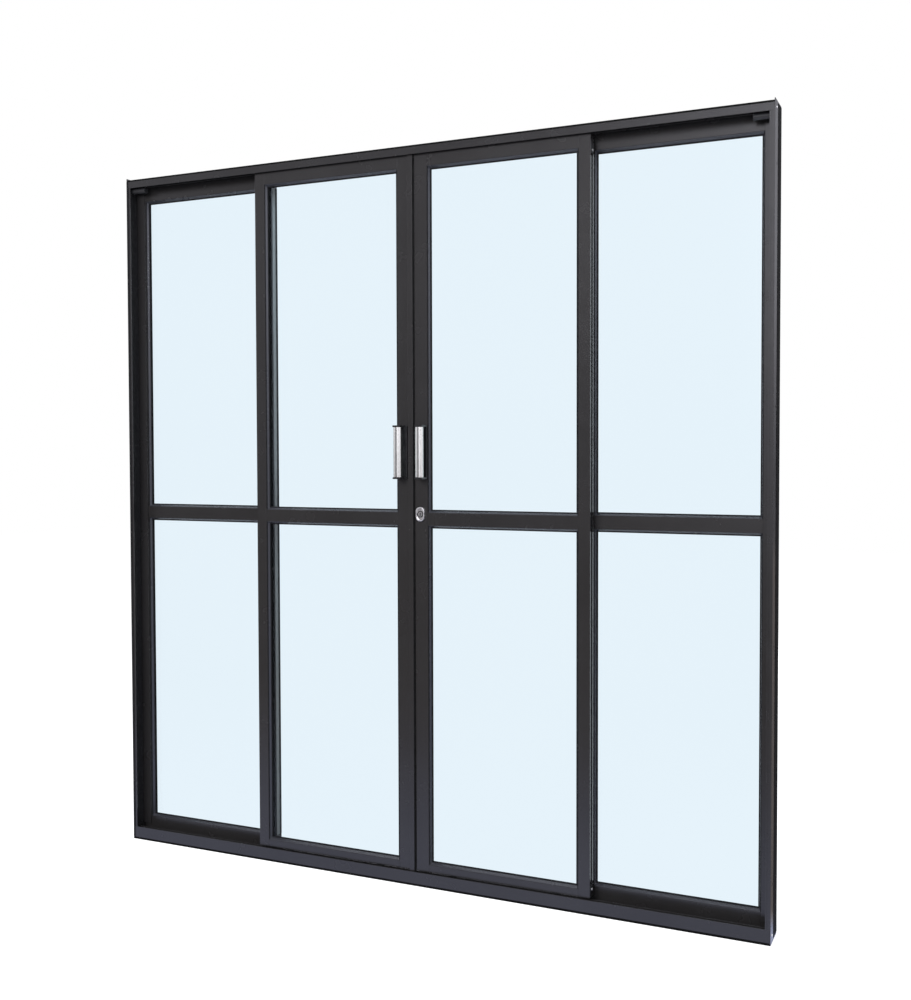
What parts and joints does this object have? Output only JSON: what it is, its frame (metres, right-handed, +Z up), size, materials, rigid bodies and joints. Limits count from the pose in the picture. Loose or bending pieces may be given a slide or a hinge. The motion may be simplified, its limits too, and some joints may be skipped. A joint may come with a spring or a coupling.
{
  "type": "glass sliding patio door",
  "caption": "Glass sliding patio door in a dark aluminium frame: fixed outer leaves, sliding centre leaves with pull handles and a key lock.",
  "frame": {"origin": "middle of the underside of the sill, half way through the frame's depth", "axes": "+X to the right along the door seen from the front, -Y out of the front, +Z up"},
  "size_m": [2, 0.115, 2.105],
  "materials": {
    "frame_coating": "dark satin powder coat on aluminium extrusion",
    "leaf_coating": "dark satin powder coat on aluminium extrusion",
    "bead_coating": "dark satin powder coat on aluminium bead",
    "clear_glass": "clear float glass with a faint blue tint",
    "handle_plastic": "black satin plastic",
    "handle_metal": "satin silver anodised",
    "lock_chrome": "bright plated metal",
    "lock_metal": "satin metal plug",
    "stop_rubber": "black rubber",
    "nylon": "dark nylon"
  },
  "bodies": {
    "frame": {"head_track": "frame_coating", "sill_track": "frame_coating", "left_jamb": "frame_coating", "left_bump_stop": "stop_rubber", "right_jamb": "frame_coating", "right_bump_stop": "stop_rubber", "left_fixed_jamb_stile": "leaf_coating", "left_fixed_interlock_stile": "leaf_coating", "left_fixed_top_rail": "leaf_coating", "left_fixed_mid_rail": "leaf_coating", "left_fixed_bottom_rail": "leaf_coating", "left_fixed_upper_glass": "clear_glass", "left_fixed_lower_glass": "clear_glass", "left_fixed_glazing_beads": "bead_coating", "right_fixed_jamb_stile": "leaf_coating", "right_fixed_interlock_stile": "leaf_coating", "right_fixed_top_rail": "leaf_coating", "right_fixed_mid_rail": "leaf_coating", "right_fixed_bottom_rail": "leaf_coating", "right_fixed_upper_glass": "clear_glass", "right_fixed_lower_glass": "clear_glass", "right_fixed_glazing_beads": "bead_coating"},
    "left_leaf": {"left_sliding_meeting_stile": "leaf_coating", "left_sliding_interlock_stile": "leaf_coating", "left_sliding_top_rail": "leaf_coating", "left_sliding_mid_rail": "leaf_coating", "left_sliding_bottom_rail": "leaf_coating", "left_sliding_upper_glass": "clear_glass", "left_sliding_lower_glass": "clear_glass", "left_sliding_glazing_beads": "bead_coating", "left_sliding_running_gear": "nylon", "left_handle_brackets": "handle_plastic", "left_handle_bars": "handle_metal", "meeting_astragal": "leaf_coating"},
    "right_leaf": {"right_sliding_meeting_stile": "leaf_coating", "right_sliding_interlock_stile": "leaf_coating", "right_sliding_top_rail": "leaf_coating", "right_sliding_mid_rail": "leaf_coating", "right_sliding_bottom_rail": "leaf_coating", "right_sliding_upper_glass": "clear_glass", "right_sliding_lower_glass": "clear_glass", "right_sliding_glazing_beads": "bead_coating", "right_sliding_running_gear": "nylon", "right_handle_brackets": "handle_plastic", "right_handle_bars": "handle_metal", "lock_escutcheons": "lock_chrome"},
    "lock_plug": {"lock_plug": "lock_metal"}
  },
  "joints": [
    {"name": "left_leaf_slide", "type": "slide", "parent": "frame", "child": "left_leaf", "axis": [-1, 0, 0], "range_m": [0, 0.41]},
    {"name": "right_leaf_slide", "type": "slide", "parent": "frame", "child": "right_leaf", "axis": [1, 0, 0], "range_m": [0, 0.41]},
    {"name": "key_turn", "type": "hinge", "parent": "right_leaf", "child": "lock_plug", "pos_m": [0.0255, -0.02, 1.064], "axis": [0, 1, 0], "range_deg": [0, 90]}
  ]
}
